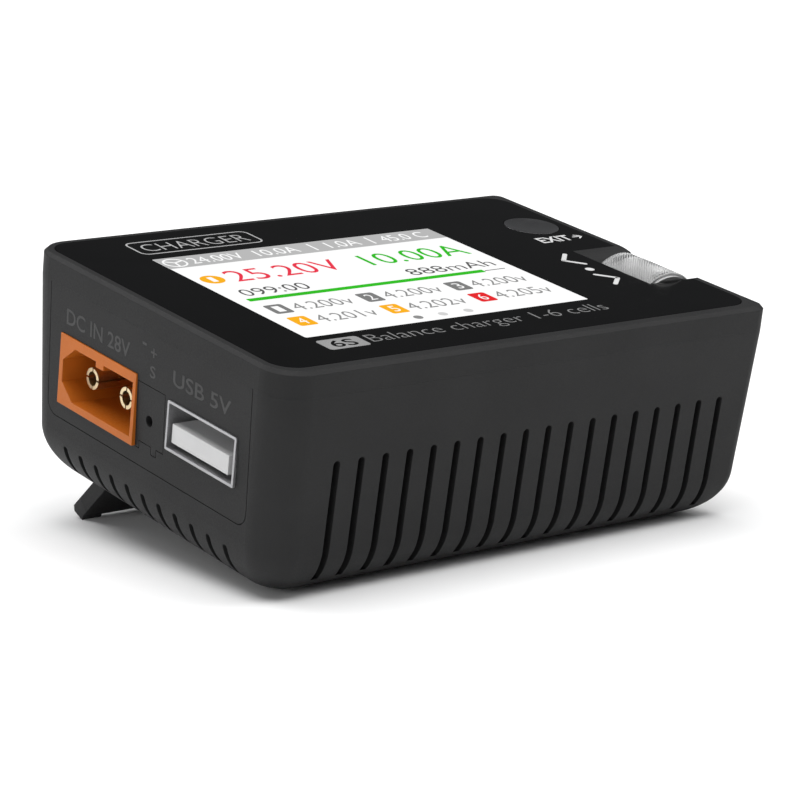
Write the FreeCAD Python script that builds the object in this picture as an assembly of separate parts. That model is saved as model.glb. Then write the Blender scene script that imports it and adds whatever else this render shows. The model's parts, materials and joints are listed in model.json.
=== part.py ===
import FreeCAD, Part
import math
import os
from FreeCAD import Vector

# A pocket-size balance battery charger, standing on its open rear stand.
# Every piece is modelled in the case's own frame, in millimetres: the origin is the middle of
# the top face, +X runs to the output end, +Y to the back edge and +Z out of the top face.
# At the end all pieces are tipped back together by the angle that the stand gives.

# Case
HALF_X = 35.4
HALF_Y = 25.45
HEIGHT = 27.7
CORNER_R = 4.2
OUTPUT_CORNER_R = 1.6
LEAST_CORNER_R = 0.3
BASE_R = 7.0
BASE_CORNER_SHRINK = 0.35
BEVEL = 0.43
COVER_DEPTH = 3.0
WALL = 1.5
PLATE_T = 2.2
LIP_T = 1.2
LIP_GAP = 0.15
LIP_FOOT = -4.6
LIP_HALF_X = 29.0
END_DRAFT = math.radians(2.0)
SIDE_DRAFT = math.radians(2.6)
GAP = 0.1

# Front panel and screen
PANEL_HALF_X = 34.1
PANEL_Y = (-23.75, 24.25)
PANEL_R = 3.0
PANEL_T = 0.8
SCREEN_CENTRE = (-4.82, -0.12)
SCREEN_HALF = (20.4, 15.3)
SCREEN_TOP = -0.04
LCD_HALF = (23.0, 17.2)
LCD_Z = (-3.3, -0.85)
TRAY_TOP = -2.0
TRAY_T = 0.28

# EXIT button
BUTTON_XY = (29.6, 11.7)
BUTTON_R = 3.5
BUTTON_GAP = 0.1
BUTTON_FOOT = -2.6
BUTTON_FLANGE = 0.4
BUTTON_STEM_FOOT = -3.75
BUTTON_TRAVEL = 0.3
BUTTON_WALL_X = 33.2
DISH_R = 12.0
DISH_DEPTH = 0.5

# Roller and the notch it sits in
ROLLER_XZ = (30.75, -4.05)
ROLLER_R = 5.0
ROLLER_Y = (-13.2, -3.8)
ROLLER_RING_R = 4.6
ROLLER_RING_W = 0.3
ROLLER_CHAMFER = 0.2
ROLLER_CLEARANCE = 0.2
ROLLER_TRAVEL = 0.3
NOTCH_LEFT_X = 27.25
NOTCH_Y = (-13.4, 0.9)
RAMP_FOOT = (-2.0, -2.56)
RAMP_STEPS = 8
AXLE_Y = (-17.0, -2.2)
AXLE_R = 1.0
RUNNING_GAP = 0.05
CARRIER_Z = (-9.7, -9.1)
CARRIER_X = (28.4, 32.2)
CARRIER_Y = (-14.2, -2.15)
CARRIER_ARM_T = 0.7
ENCODER_Y = (-17.4, -14.2)
ENCODER_Z = (-8.9, -2.7)
PRESS_SWITCH_XY = (21.2, -8.0)

# Vents
SIDE_VENTS = 18
SIDE_VENT_X = -26.9
SIDE_VENT_PITCH = 3.32
SIDE_VENT_TOP = -10.75
END_VENTS = 11
END_VENT_PITCH = 3.3
END_VENT_TOP = -22.3
VENT_W = 0.9
FRONT_VENT_FOOT = -25.3
BACK_VENT_FOOT = -22.5
END_VENT_FOOT = -25.9
GRILLE_RADII = (2.6, 5.4, 8.2)
GRILLE_RING_W = 1.5
GRILLE_SPOKE_W = 1.2

# End panels and connectors
END_PANEL_HALF_Y = 20.4
END_PANEL_FOOT = -19.1
END_PANEL_R = 1.8
FLANGE_T = 1.0
FLANGE_EDGE = 1.2
FLANGE_TOP = -7.6
ROLLER_SLOT_FOOT = -9.5
INPUT_FACE_X = -35.35
PORT_FACE_X = 35.1
INLET_YZ = (9.7, -12.74)
INLET_SIZE = (16.0, 8.5)
INLET_CAVITY_Y = (-7.4, 7.25)
INLET_CAVITY_Z = (-3.38, 3.09)
CAVITY_CUT = (2.4, 1.9)
KEY_Y = (-1.25, 0.35)
KEY_DROP = 0.65
INLET_PIN_Z = -13.0
INLET_PIN_R = 1.3
INLET_PIN_WALL = 0.45
INLET_ROOT_R = 1.6
OUTLET_YZ = (10.0, -12.7)
OUTLET_SIZE = (16.0, 8.4)
POWER_DEPTH = 15.0
PIN_SPACING = 7.2
SOCKET_R = 1.75
SOCKET_WALL = 0.4
USB_YZ = (-11.45, -12.22)
USB_SIZE = (13.3, 5.75)
USB_DEPTH = 14.0
USB_WALL = 0.3
USB_TONGUE_Y = (-5.2, 5.8)
USB_TONGUE_Z = (-1.9, 0.3)
USB_CONTACT_START = 5.0
BALANCE_YZ = (-8.5, -13.1)
BALANCE_SIZE = (19.9, 5.75)
BALANCE_DEPTH = 9.5
BALANCE_PINS = 7
BALANCE_PITCH = 2.5
BALANCE_WALL = 0.8
BALANCE_PIN_HALF = 0.32
SIGNAL_Y = (-4.0, 1.46)
SIGNAL_Z = (-16.1, -9.15)
SIGNAL_TABS = ((0.85, 1.46), (-2.6, -1.6))
SIGNAL_TAB_DROP = 0.9
SIGNAL_HOLE_YZ = (-1.04, -13.2)
SIGNAL_HOLE_R = 0.65

# Boards
MAIN_TOP = -17.0
MAIN_T = 1.6
MAIN_HALF = (32.4, 22.4)
UI_TOP = -5.6
UI_T = 1.0
BOARD_SCREW_XY = (27.5, 20.2)
BOARD_BOSS_R = 2.3
SCREW_HOLE_R = 0.95
UI_POST_R = 1.9
UI_HOLE_R = 0.8
INDUCTOR_X = (-16.5, -3.5)
INDUCTOR_Y = (-11.0, 4.5)
HEATSINK_X = (-28.5, -14.0)
HEATSINK_Y = (-15.0, 3.5)
CHIP_T = 1.0
PAD_T = 0.5

# Fan
FAN_XY = (0.0, -7.0)
FAN_SIZE = 25.0
FAN_Z = (-25.85, -18.85)
FAN_HOLE = 10.0
FAN_BOSS_R = 2.2
ROTOR_R = 10.8
HUB_R = 5.2
SHAFT_R = 0.75
BLADES = 7
BLADE_PITCH = 42

# Stand
HINGE_YZ = (15.5, -26.5)
STAND_ANGLE = math.radians(48.0)
STAND_HALF_X = 29.5
KNUCKLE_R = 1.15
LEG_FACES = (-1.3, 0.7)
LEG_LENGTH = 8.2
PAD_TIP = ((8.0, -1.55), (8.75, 0.1))
PAD_W = 2.7
PAD_ROOT = 6.6
LUG_X = 20.0
LUG_W = 3.0
HINGE_PIN_R = 0.6
HINGE_PIN_HALF = 4.5
STAND_BAY = [(6.4, -28.5), (6.4, -25.0), (15.85, -25.0), (19.0, -28.5)]
BAY_HALF_X = 30.1

# Front feet
FOOT_X = 21.0
FOOT_HALF = (4.5, 1.6)
FOOT_FRONT_Y = -16.0
FOOT_Z = (-28.1, -27.2)


# ---------------------------------------------------------------- shape helpers

def box(x, y, z):
    """A block from its lowest and highest x, y and z."""
    return Part.makeBox(x[1] - x[0], y[1] - y[0], z[1] - z[0], Vector(x[0], y[0], z[0]))


def rod(radius, start, end):
    """A cylinder between two points."""
    start = Vector(*start)
    along = Vector(*end) - start
    return Part.makeCylinder(radius, along.Length, start, along)


def tube(outer_r, inner_r, start, end):
    return rod(outer_r, start, end).cut(rod(inner_r, start, end))


def prism_x(points, x):
    """A polygon of (y, z) points, extruded between two x."""
    wire = Part.makePolygon([Vector(x[0], y, z) for y, z in points + points[:1]])
    return Part.Face(wire).extrude(Vector(x[1] - x[0], 0, 0))


def prism_y(points, y):
    """A polygon of (x, z) points, extruded between two y."""
    wire = Part.makePolygon([Vector(px, y[0], pz) for px, pz in points + points[:1]])
    return Part.Face(wire).extrude(Vector(0, y[1] - y[0], 0))


def outline(half_x, half_y, radius, z, centre=(0.0, 0.0), output_radius=None):
    """A rounded rectangle as one wire of lines and true arcs; its +X corners can have their own radius."""
    cx, cy = centre
    right = radius if output_radius is None else output_radius
    arcs = []
    corners = ((1, -1, right, True), (1, 1, right, False), (-1, 1, radius, True), (-1, -1, radius, False))
    for sx, sy, r, along_x in corners:
        corner = Vector(cx + sx * half_x, cy + sy * half_y, z)
        middle = corner + Vector(-sx, -sy, 0) * (r * (1 - math.sqrt(0.5)))
        on_x_side = corner + Vector(-sx * r, 0, 0)
        on_y_side = corner + Vector(0, -sy * r, 0)
        arcs.append((on_x_side, middle, on_y_side) if along_x else (on_y_side, middle, on_x_side))
    edges = []
    for i, (start, middle, end) in enumerate(arcs):
        edges.append(Part.LineSegment(arcs[i - 1][2], start).toShape())
        edges.append(Part.Arc(start, middle, end).toShape())
    return Part.Wire(edges)


def rounded_plate(half_x, half_y, radius, z, centre=(0.0, 0.0)):
    face = Part.Face(outline(half_x, half_y, radius, z[0], centre))
    return face.extrude(Vector(0, 0, z[1] - z[0]))


def plate_between(x, y, radius, z):
    """A rounded plate from its x and y limits."""
    centre = ((x[0] + x[1]) / 2, (y[0] + y[1]) / 2)
    return rounded_plate((x[1] - x[0]) / 2, (y[1] - y[0]) / 2, radius, z, centre)


def end_plate(half_y, half_z, radius, x, centre=(0.0, 0.0)):
    """A rounded rectangle standing across the x axis, extruded between two x."""
    plate = rounded_plate(half_z, half_y, radius, (0, x[1] - x[0]))
    plate.rotate(Vector(0, 0, 0), Vector(0, 1, 0), 90)
    plate.translate(Vector(x[0], centre[0], centre[1]))
    return plate


def group(shapes):
    """Separate solids kept together in one node."""
    return Part.makeCompound(shapes)


def join(shapes):
    return shapes[0].multiFuse(shapes[1:]).removeSplitter()


def mirrored_x(shape):
    return shape.mirror(Vector(0, 0, 0), Vector(1, 0, 0))


# ---------------------------------------------------------------- case

def wall_at(z, inset):
    """Half length and half width of the case at height z; both walls are drafted."""
    below = max(-COVER_DEPTH - z, 0.0)
    return HALF_X - inset - below * math.tan(END_DRAFT), HALF_Y - inset - below * math.tan(SIDE_DRAFT)


def case_outline(half_x, half_y, inset, z, shrink=0.0):
    """The case's outline: wide corners at the input end, tight ones at the output end."""
    corner = max(CORNER_R - inset, LEAST_CORNER_R) * (1 - shrink)
    output_corner = max(OUTPUT_CORNER_R - inset, LEAST_CORNER_R) * (1 - shrink)
    return outline(half_x, half_y, corner, z, (0.0, 0.0), output_corner)


def case_plate(inset, z):
    face = Part.Face(case_outline(HALF_X - inset, HALF_Y - inset, inset, z[0]))
    return face.extrude(Vector(0, 0, z[1] - z[0]))


def tub(inset, top):
    """The case below the cover as a solid: drafted walls running into a rounded base."""
    sections = 6
    radius = BASE_R - inset
    arc_z = BASE_R - HEIGHT
    first = (END_DRAFT + SIDE_DRAFT) / 2
    start_z = arc_z - radius * math.sin(first)
    half_x, half_y = wall_at(start_z, inset)
    upper_wires = [case_outline(HALF_X - inset, HALF_Y - inset, inset, -COVER_DEPTH),
                   case_outline(half_x, half_y, inset, start_z)]
    upper = Part.makeLoft(upper_wires, True, True)
    arc_x = half_x - radius * math.cos(first)
    arc_y = half_y - radius * math.cos(first)
    wires = []
    for i in range(sections + 1):
        part = i / sections
        turn = first + (math.pi / 2 - first) * part
        reach = radius * math.cos(turn)
        z = arc_z - radius * math.sin(turn)
        wires.append(case_outline(arc_x + reach, arc_y + reach, inset, z, BASE_CORNER_SHRINK * part))
    body = upper.fuse(Part.makeLoft(wires, True, False))
    if top > -COVER_DEPTH:
        body = body.fuse(case_plate(inset, (-COVER_DEPTH, top)))
    return body


def end_window(grow, x):
    """The opening in an end wall that an end panel fills, on the input side."""
    top = END_PANEL_R
    middle_z = (top + END_PANEL_FOOT) / 2
    half_z = (top - END_PANEL_FOOT) / 2
    block = end_plate(END_PANEL_HALF_Y + grow, half_z + grow, END_PANEL_R + grow, x, (0.0, middle_z))
    return block.cut(box((x[0] - 1, x[1] + 1), (-HALF_Y, HALF_Y), (-COVER_DEPTH, 5)))


def vent_y(x, y, z_top, z_foot):
    """A vent with a round top, cut along y."""
    half = VENT_W / 2
    slot = box((x - half, x + half), y, (z_foot, z_top - half))
    return slot.fuse(rod(half, (x, y[0], z_top - half), (x, y[1], z_top - half)))


def vent_x(y, x, z_top, z_foot):
    """A vent with a round top, cut along x."""
    half = VENT_W / 2
    slot = box(x, (y - half, y + half), (z_foot, z_top - half))
    return slot.fuse(rod(half, (x[0], y, z_top - half), (x[1], y, z_top - half)))


def vents():
    cutters = []
    for i in range(SIDE_VENTS):
        x = SIDE_VENT_X + i * SIDE_VENT_PITCH
        cutters.append(vent_y(x, (-HALF_Y - 1, -18.5), SIDE_VENT_TOP, FRONT_VENT_FOOT))
        cutters.append(vent_y(x, (21.0, HALF_Y + 1), SIDE_VENT_TOP, BACK_VENT_FOOT))
    for i in range(END_VENTS):
        y = (i - (END_VENTS - 1) / 2) * END_VENT_PITCH
        cutters.append(vent_x(y, (-HALF_X - 1, -29.0), END_VENT_TOP, END_VENT_FOOT))
        cutters.append(vent_x(y, (29.0, HALF_X + 1), END_VENT_TOP, END_VENT_FOOT))
    return cutters


def grille():
    """Three broken rings under the fan."""
    cx, cy = FAN_XY
    low, high = -HEIGHT - 1, -HEIGHT + WALL + 1
    rings = []
    for inner in GRILLE_RADII:
        rings.append(tube(inner + GRILLE_RING_W, inner, (cx, cy, low), (cx, cy, high)))
    spokes = []
    for turn in (30, 90, 150):
        bar = box((-FAN_SIZE, FAN_SIZE), (-GRILLE_SPOKE_W / 2, GRILLE_SPOKE_W / 2), (low - 1, high + 1))
        bar.rotate(Vector(0, 0, 0), Vector(0, 0, 1), turn)
        bar.translate(Vector(cx, cy, 0))
        spokes.append(bar)
    return [ring.cut(spokes) for ring in rings]


def fan_corners():
    cx, cy = FAN_XY
    return [(cx + sx * FAN_HOLE, cy + sy * FAN_HOLE) for sx in (-1, 1) for sy in (-1, 1)]


def board_corners():
    x, y = BOARD_SCREW_XY
    return [(sx * x, sy * y) for sx in (-1, 1) for sy in (-1, 1)]


def hinge_lug(x):
    """One of the two lugs that hang from the stand bay's roof and carry the hinge."""
    y, z = HINGE_YZ
    ends = (x - LUG_W / 2, x + LUG_W / 2)
    eye = rod(KNUCKLE_R, (ends[0], y, z), (ends[1], y, z))
    stem = box(ends, (y - KNUCKLE_R, y + KNUCKLE_R), (z, -24.0))
    bore = rod(HINGE_PIN_R + RUNNING_GAP, (ends[0] - 1, y, z), (ends[1] + 1, y, z))
    return eye.fuse(stem).cut(bore)


def lower_shell():
    shell = tub(0.0, -COVER_DEPTH).cut(tub(WALL, -COVER_DEPTH + 1))
    bay_liner = box((-31.0, 31.0), (5.6, 20.4), (-27.0, -24.0))
    bosses = [rod(BOARD_BOSS_R, (x, y, -26.5), (x, y, MAIN_TOP - MAIN_T)) for x, y in board_corners()]
    bosses += [rod(FAN_BOSS_R, (x, y, -26.5), (x, y, FAN_Z[0])) for x, y in fan_corners()]
    inside = tub(WALL / 2, -COVER_DEPTH)
    shell = shell.multiFuse([solid.common(inside) for solid in [bay_liner] + bosses])
    cutters = vents() + grille()
    cutters.append(prism_x(STAND_BAY, (-BAY_HALF_X, BAY_HALF_X)))
    for x, y in board_corners():
        cutters.append(rod(SCREW_HOLE_R, (x, y, -24.0), (x, y, MAIN_TOP)))
    for x, y in fan_corners():
        cutters.append(rod(1.1, (x, y, -HEIGHT - 1), (x, y, FAN_Z[0] + 1)))
        cutters.append(rod(2.0, (x, y, -HEIGHT - 1), (x, y, -HEIGHT + 0.8)))
    window = end_window(0.0, (-HALF_X - 1, -HALF_X + 5))
    cutters += [window, mirrored_x(window)]
    for x in (-FOOT_X, FOOT_X):
        cutters.append(foot(x, GAP / 2))
    shell = shell.cut(cutters)
    return shell.multiFuse([hinge_lug(-LUG_X), hinge_lug(LUG_X)]).removeSplitter()


def notch():
    """What the roller notch takes out of the cover: a curved ramp at the back, then straight down."""
    start, (foot_y, foot_z) = NOTCH_Y[1], RAMP_FOOT
    points = [(start, 1.0)]
    for i in range(RAMP_STEPS + 1):
        turn = math.pi / 2 * i / RAMP_STEPS
        points.append((start + (foot_y - start) * math.sin(turn), foot_z * (1 - math.cos(turn))))
    points += [(foot_y, -5.0), (NOTCH_Y[0], -5.0), (NOTCH_Y[0], 1.0)]
    return prism_x(points, (NOTCH_LEFT_X, HALF_X + 1))


def roller_relief():
    """Room for the roller's belly, which is wider than the notch's mouth."""
    x, z = ROLLER_XZ
    return rod(ROLLER_R + ROLLER_CLEARANCE, (x, NOTCH_Y[0], z), (x, RAMP_FOOT[0], z))


def panel_recess():
    """The seat of the front panel; it stops at the ramp, which the cover itself forms."""
    recess = plate_between((-PANEL_HALF_X - GAP, PANEL_HALF_X + GAP), (PANEL_Y[0] - GAP, PANEL_Y[1] + GAP),
                           PANEL_R + GAP, (-PANEL_T, 1))
    return recess.cut(box((NOTCH_LEFT_X, HALF_X), NOTCH_Y, (-PANEL_T - 1, 0)))


def top_cover():
    bevel_wires = [case_outline(HALF_X, HALF_Y, 0.0, -BEVEL),
                   case_outline(HALF_X - BEVEL, HALF_Y - BEVEL, BEVEL, 0)]
    bevel = Part.makeLoft(bevel_wires, True, True)
    lid = case_plate(0.0, (-COVER_DEPTH, -BEVEL)).fuse(bevel)
    lid = lid.cut(case_plate(WALL, (-COVER_DEPTH - 1, -PLATE_T)))
    lip_y = HALF_Y - WALL - LIP_GAP
    extras = []
    for y in ((lip_y - LIP_T, lip_y), (-lip_y, -lip_y + LIP_T)):
        extras.append(box((-LIP_HALF_X, LIP_HALF_X), y, (LIP_FOOT, -PLATE_T)))
    under_ramp = (RAMP_FOOT[0], 3.2)
    extras.append(box((NOTCH_LEFT_X - 1.2, HALF_X - WALL / 2), under_ramp, (-COVER_DEPTH, -PLATE_T)))
    extras.append(box((NOTCH_LEFT_X - 1.2, HALF_X - WALL - 0.7), under_ramp, (-3.5, -COVER_DEPTH)))
    for x, y in ui_posts():
        extras.append(rod(UI_POST_R, (x, y, UI_TOP), (x, y, -PLATE_T + 0.2)))
    lid = lid.multiFuse(extras)
    cx, cy = BUTTON_XY
    cutters = [panel_recess(), notch(), roller_relief(),
               rounded_plate(LCD_HALF[0] + GAP, LCD_HALF[1] + GAP, 0.5, (-5, 1), SCREEN_CENTRE),
               rod(BUTTON_R + BUTTON_GAP, (cx, cy, -5), (cx, cy, 1))]
    for x, y in ui_posts():
        cutters.append(rod(UI_HOLE_R, (x, y, UI_TOP - 1), (x, y, -PLATE_T)))
    return lid.cut(cutters).removeSplitter()


def front_panel():
    panel = plate_between((-PANEL_HALF_X, PANEL_HALF_X), PANEL_Y, PANEL_R, (-PANEL_T, 0))
    cx, cy = BUTTON_XY
    window = rounded_plate(SCREEN_HALF[0] + GAP, SCREEN_HALF[1] + GAP, 0.3, (-5, 1), SCREEN_CENTRE)
    slot = box((NOTCH_LEFT_X - GAP / 2, HALF_X), (NOTCH_Y[0], NOTCH_Y[1] + GAP / 2), (-5, 1))
    hole = rod(BUTTON_R + BUTTON_GAP, (cx, cy, -5), (cx, cy, 1))
    return panel.cut([window, hole, slot, roller_relief()])


def display_screen():
    return rounded_plate(SCREEN_HALF[0], SCREEN_HALF[1], 0.2, (-PANEL_T, SCREEN_TOP), SCREEN_CENTRE)


def lcd_module():
    half_x, half_y = LCD_HALF
    inset = TRAY_T + 0.02
    return rounded_plate(half_x - inset, half_y - inset, 0.4, (LCD_Z[0] + inset, LCD_Z[1]), SCREEN_CENTRE)


def backlight_tray():
    half_x, half_y = LCD_HALF
    outer = rounded_plate(half_x, half_y, 0.5, (LCD_Z[0], TRAY_TOP), SCREEN_CENTRE)
    hollow = rounded_plate(half_x - TRAY_T, half_y - TRAY_T, 0.4, (LCD_Z[0] + TRAY_T, 0), SCREEN_CENTRE)
    return outer.cut(hollow)


def display_flex():
    """A thin strip that leaves the tray's edge and folds under to the board."""
    left = SCREEN_CENTRE[0] - LCD_HALF[0]
    points = [(left + 3, LCD_Z[0] - 0.05), (left - 2, LCD_Z[0] - 0.05), (left - 2, UI_TOP + 0.05),
              (left + 4, UI_TOP + 0.05), (left + 4, UI_TOP + 0.25), (left - 1.8, UI_TOP + 0.25),
              (left - 1.8, LCD_Z[0] - 0.25), (left + 3, LCD_Z[0] - 0.25)]
    return prism_y(points, (-5.0, 5.0))


# ---------------------------------------------------------------- button and roller

def exit_button():
    cx, cy = BUTTON_XY
    cap = rod(BUTTON_R, (cx, cy, BUTTON_FOOT), (cx, cy, 0.0))
    flange = rod(BUTTON_R + BUTTON_FLANGE, (cx, cy, BUTTON_FOOT - 0.5), (cx, cy, -PLATE_T - GAP))
    flange = flange.cut(box((BUTTON_WALL_X, HALF_X), (cy - 6, cy + 6), (-4, 0)))
    stem = rod(1.2, (cx, cy, BUTTON_STEM_FOOT), (cx, cy, BUTTON_FOOT))
    dish = Part.makeSphere(DISH_R, Vector(cx, cy, DISH_R - DISH_DEPTH))
    return cap.multiFuse([flange, stem]).cut(dish).removeSplitter()


def exit_switch():
    cx, cy = BUTTON_XY
    can = box((cx - 2.25, cx + 2.25), (cy - 2.25, cy + 2.25), (UI_TOP, -4.4))
    return can.fuse(rod(0.9, (cx, cy, -4.5), (cx, cy, BUTTON_STEM_FOOT - BUTTON_TRAVEL - RUNNING_GAP)))


def roller():
    """A knurled barrel with a smooth ring at its front end."""
    x, z = ROLLER_XZ
    front, back = ROLLER_Y
    barrel = rod(ROLLER_R, (x, front + ROLLER_RING_W, z), (x, back, z))
    barrel = barrel.makeChamfer(ROLLER_CHAMFER, barrel.Edges[:1] + barrel.Edges[2:3])
    ring = rod(ROLLER_RING_R, (x, front, z), (x, front + ROLLER_RING_W + 0.2, z))
    bore = rod(AXLE_R, (x, front - 1, z), (x, back + 1, z))
    return barrel.fuse(ring).cut(bore)


def roller_axle():
    x, z = ROLLER_XZ
    return rod(AXLE_R, (x, AXLE_Y[0], z), (x, AXLE_Y[1], z))


def roller_carrier():
    """A cradle whose two arms hold the axle; its tab reaches over the press switch."""
    x, z = ROLLER_XZ
    front, back = CARRIER_Y
    base = box((PRESS_SWITCH_XY[0] - 2, CARRIER_X[1]), CARRIER_Y, CARRIER_Z)
    arms = [box(CARRIER_X, (front, front + CARRIER_ARM_T), (CARRIER_Z[0], ENCODER_Z[1])),
            box(CARRIER_X, (back - CARRIER_ARM_T, back), (CARRIER_Z[0], ENCODER_Z[1]))]
    bore = rod(AXLE_R + RUNNING_GAP, (x, AXLE_Y[0] - 1, z), (x, 0, z))
    return base.multiFuse(arms).cut(bore)


def roller_encoder():
    x, z = ROLLER_XZ
    body = box((CARRIER_X[0] - 1.8, CARRIER_X[1]), ENCODER_Y, ENCODER_Z)
    return body.cut(rod(AXLE_R + RUNNING_GAP, (x, AXLE_Y[0] - 0.1, z), (x, 0, z)))


def press_switch():
    x, y = PRESS_SWITCH_XY
    body = box((x - 3, x + 3), (y - 3, y + 3), (MAIN_TOP, MAIN_TOP + 3.5))
    tip = CARRIER_Z[0] - ROLLER_TRAVEL - RUNNING_GAP
    return body.fuse(rod(1.75, (x, y, MAIN_TOP + 3), (x, y, tip)))


# ---------------------------------------------------------------- end panels and connectors

def end_panel(openings, x_sign):
    """A panel whose outer face follows the drafted end wall, with a flange behind the wall."""
    slab = end_window(-GAP, (-HALF_X - 1, -HALF_X + WALL + 0.5)).common(tub(0.0, -COVER_DEPTH))
    back = -HALF_X + WALL + 0.5
    flange = end_window(FLANGE_EDGE, (back, back + FLANGE_T)).common(tub(WALL + 0.2, -COVER_DEPTH))
    flange = flange.cut(box((-HALF_X, 0), (-HALF_Y, HALF_Y), (FLANGE_TOP, 0)))
    panel = slab.fuse(flange)
    if x_sign > 0:
        panel = mirrored_x(panel)
    return panel.cut(openings).removeSplitter()


def port_cutter(centre, size, x_sign, grow=0.05):
    y, z = centre
    x = sorted((x_sign * (HALF_X + 2), x_sign * (HALF_X - 8)))
    half_y, half_z = size[0] / 2 + grow, size[1] / 2 + grow
    return box(x, (y - half_y, y + half_y), (z - half_z, z + half_z))


def signal_block(grow, x):
    block = box(x, (SIGNAL_Y[0] - grow, SIGNAL_Y[1] + grow), (SIGNAL_Z[0] - grow, SIGNAL_Z[1] + grow))
    tab_z = (SIGNAL_Z[0] - SIGNAL_TAB_DROP - grow, SIGNAL_Z[0] + 1)
    tabs = [box(x, (low - grow, high + grow), tab_z) for low, high in SIGNAL_TABS]
    return block.multiFuse(tabs)


def signal_port():
    y, z = SIGNAL_HOLE_YZ
    block = signal_block(-0.02, (-HALF_X - 1, -HALF_X + 6)).common(tub(0.0, -COVER_DEPTH))
    hole = rod(SIGNAL_HOLE_R, (-HALF_X - 1, y, z), (-HALF_X + 4, y, z))
    return block.cut(hole).removeSplitter()


def left_end_panel():
    openings = [port_cutter(INLET_YZ, INLET_SIZE, -1), port_cutter(USB_YZ, USB_SIZE, -1),
                signal_block(0.06, (-HALF_X - 1, -HALF_X + 7))]
    return end_panel(openings, -1)


def right_end_panel():
    middle_y = (NOTCH_Y[0] + RAMP_FOOT[0]) / 2
    half_y = (RAMP_FOOT[0] - NOTCH_Y[0]) / 2
    half_z = -ROLLER_SLOT_FOOT / 2
    slot = end_plate(half_y, half_z, 0.5, (HALF_X - 8, HALF_X + 1), (middle_y, -half_z))
    openings = [port_cutter(OUTLET_YZ, OUTLET_SIZE, 1),
                port_cutter(BALANCE_YZ, BALANCE_SIZE, 1), slot]
    return end_panel(openings, 1)


def power_cavity(centre, grow, x):
    """A power socket's inner outline: two corners cut off at the +Y end and a key rib at the top."""
    y, z = centre
    low, high = y + INLET_CAVITY_Y[0] - grow, y + INLET_CAVITY_Y[1] + grow
    foot, top = z + INLET_CAVITY_Z[0] - grow, z + INLET_CAVITY_Z[1] + grow
    cut_y, cut_z = CAVITY_CUT
    key_z = top - KEY_DROP
    key = [(y + KEY_Y[1], top), (y + KEY_Y[1], key_z), (y + KEY_Y[0], key_z), (y + KEY_Y[0], top)]
    points = [(low, foot), (high - cut_y, foot), (high, foot + cut_z), (high, top - cut_z),
              (high - cut_y, top), *key, (low, top)]
    return prism_x(points, x)


def pin_rows(centre):
    return (centre[0] - PIN_SPACING / 2, centre[0] + PIN_SPACING / 2)


def inlet_housing():
    y, z = INLET_YZ
    half_y, half_z = INLET_SIZE[0] / 2, INLET_SIZE[1] / 2
    face = INPUT_FACE_X
    block = box((face, face + POWER_DEPTH), (y - half_y, y + half_y), (z - half_z, z + half_z))
    block = block.cut(power_cavity(INLET_YZ, 0.0, (face - 1, face + 9.5)))
    bores = []
    for pin_y in pin_rows(INLET_YZ):
        bores.append(rod(INLET_ROOT_R, (face + 5, pin_y, INLET_PIN_Z), (face + 30, pin_y, INLET_PIN_Z)))
    return block.cut(bores)


def inlet_pins():
    """Two hollow pins, each split by four slits, with solid tails to the board."""
    tip, root, tail = INPUT_FACE_X + 1.8, INPUT_FACE_X + 9.5, INPUT_FACE_X + 17.5
    z = INLET_PIN_Z
    pins = []
    for y in pin_rows(INLET_YZ):
        pin = rod(INLET_PIN_R, (tip, y, z), (tail, y, z))
        pin = pin.fuse(rod(INLET_ROOT_R, (root, y, z), (tail, y, z)))
        hollow = rod(INLET_PIN_R - INLET_PIN_WALL, (tip - 1, y, z), (root - 1, y, z))
        slits = [box((tip - 1, root - 2), (y - 3, y + 3), (z - 0.1, z + 0.1)),
                 box((tip - 1, root - 2), (y - 0.1, y + 0.1), (z - 3, z + 3))]
        leg = box((tail - 2.5, tail), (y - 0.8, y + 0.8), (MAIN_TOP - MAIN_T, z))
        pins.append(pin.cut([hollow] + slits).fuse(leg))
    return group(pins)


def outlet_housing():
    """The output socket's block: cut corners at the +Y end, two round wells for the sockets."""
    y, z = OUTLET_YZ
    half_y, half_z = OUTLET_SIZE[0] / 2, OUTLET_SIZE[1] / 2
    x = (PORT_FACE_X - POWER_DEPTH, PORT_FACE_X)
    shroud = box(x, (y - half_y, y + half_y), (z - half_z, z + half_z))
    moat_x = (PORT_FACE_X - 8.0, PORT_FACE_X + 1)
    moat = power_cavity(OUTLET_YZ, 0.0, moat_x)
    core_points = [(y - 6.4, z - 2.7), (y + 4.3, z - 2.7), (y + 6.4, z - 0.9), (y + 6.4, z + 0.9),
                   (y + 4.3, z + 2.7), (y - 6.4, z + 2.7)]
    core = prism_x(core_points, (moat_x[0] - 0.5, PORT_FACE_X))
    key = box((moat_x[0] - 1, PORT_FACE_X + 1), (y + KEY_Y[0] - 0.3, y + KEY_Y[1] + 0.3), (z + 1.9, z + 3))
    block = shroud.cut(moat).fuse(core.cut(key))
    well_r = SOCKET_R + SOCKET_WALL
    wells = [rod(well_r, (x[0] - 1, pin_y, z), (x[1] + 1, pin_y, z)) for pin_y in pin_rows(OUTLET_YZ)]
    return block.cut(wells).removeSplitter()


def outlet_sockets():
    """Two gilt tubes in the wells, with legs to the board."""
    z = OUTLET_YZ[1]
    mouth, back = PORT_FACE_X - 0.6, PORT_FACE_X - 17.0
    sockets = []
    for y in pin_rows(OUTLET_YZ):
        barrel = rod(SOCKET_R + SOCKET_WALL, (back, y, z), (mouth, y, z))
        bore = rod(SOCKET_R, (mouth - 7.5, y, z), (mouth + 1, y, z))
        leg = box((back, back + 2.0), (y - 0.8, y + 0.8), (MAIN_TOP - MAIN_T, z))
        sockets.append(barrel.fuse(leg).cut(bore))
    return group(sockets)


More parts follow.
